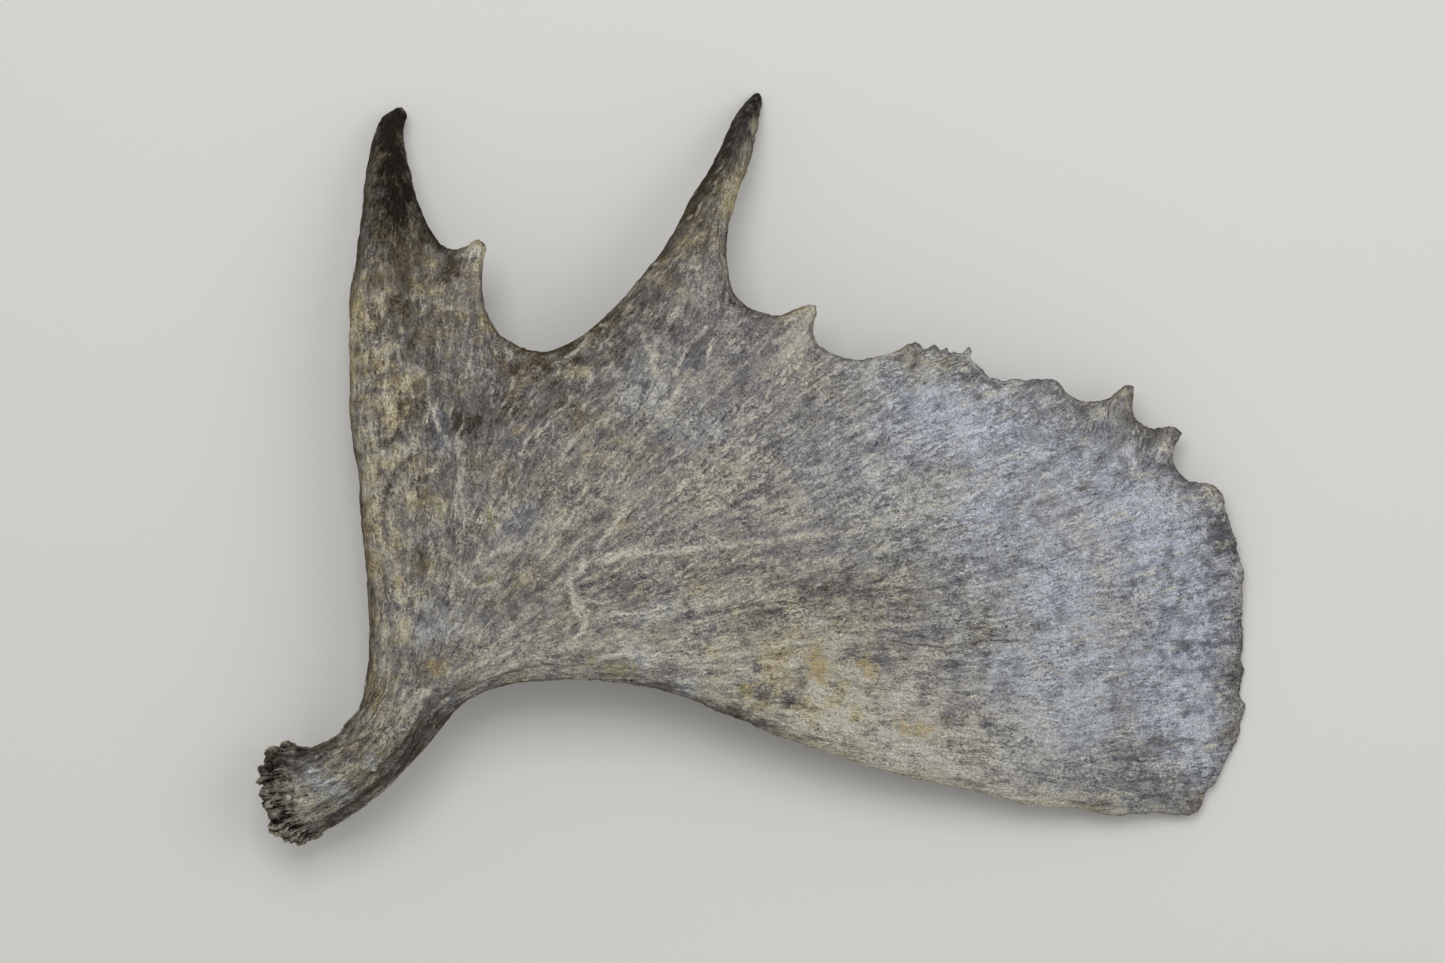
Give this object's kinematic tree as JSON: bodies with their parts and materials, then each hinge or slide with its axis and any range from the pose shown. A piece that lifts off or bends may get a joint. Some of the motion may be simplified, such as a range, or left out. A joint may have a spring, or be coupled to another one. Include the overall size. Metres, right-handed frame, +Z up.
{
  "type": "moose antler",
  "caption": "Shed moose antler: a round beam with a knobbed burr forks into a small brow palm and a broad cupped main palm with tapering tines.",
  "frame": {"origin": "middle of the footprint, on the surface it lies on", "axes": "+X from the burr's side towards the far rim of the main palm, +Y towards the tines, +Z up, out of the rounded outer face"},
  "size_m": [0.7575, 0.5731, 0.1081],
  "materials": {
    "beam_bone": "matt weathered bone, grooved lengthwise, brown grime between the burr's knobs",
    "brow_palm_bone": "matt weathered bone, tan and dark brown, finely streaked",
    "main_palm_bone": "matt weathered bone, grey-brown bleached to blue-grey at the far end"
  },
  "bodies": {
    "root": {"beam": "beam_bone", "brow_palm": "brow_palm_bone", "main_palm": "main_palm_bone"}
  },
  "joints": []
}
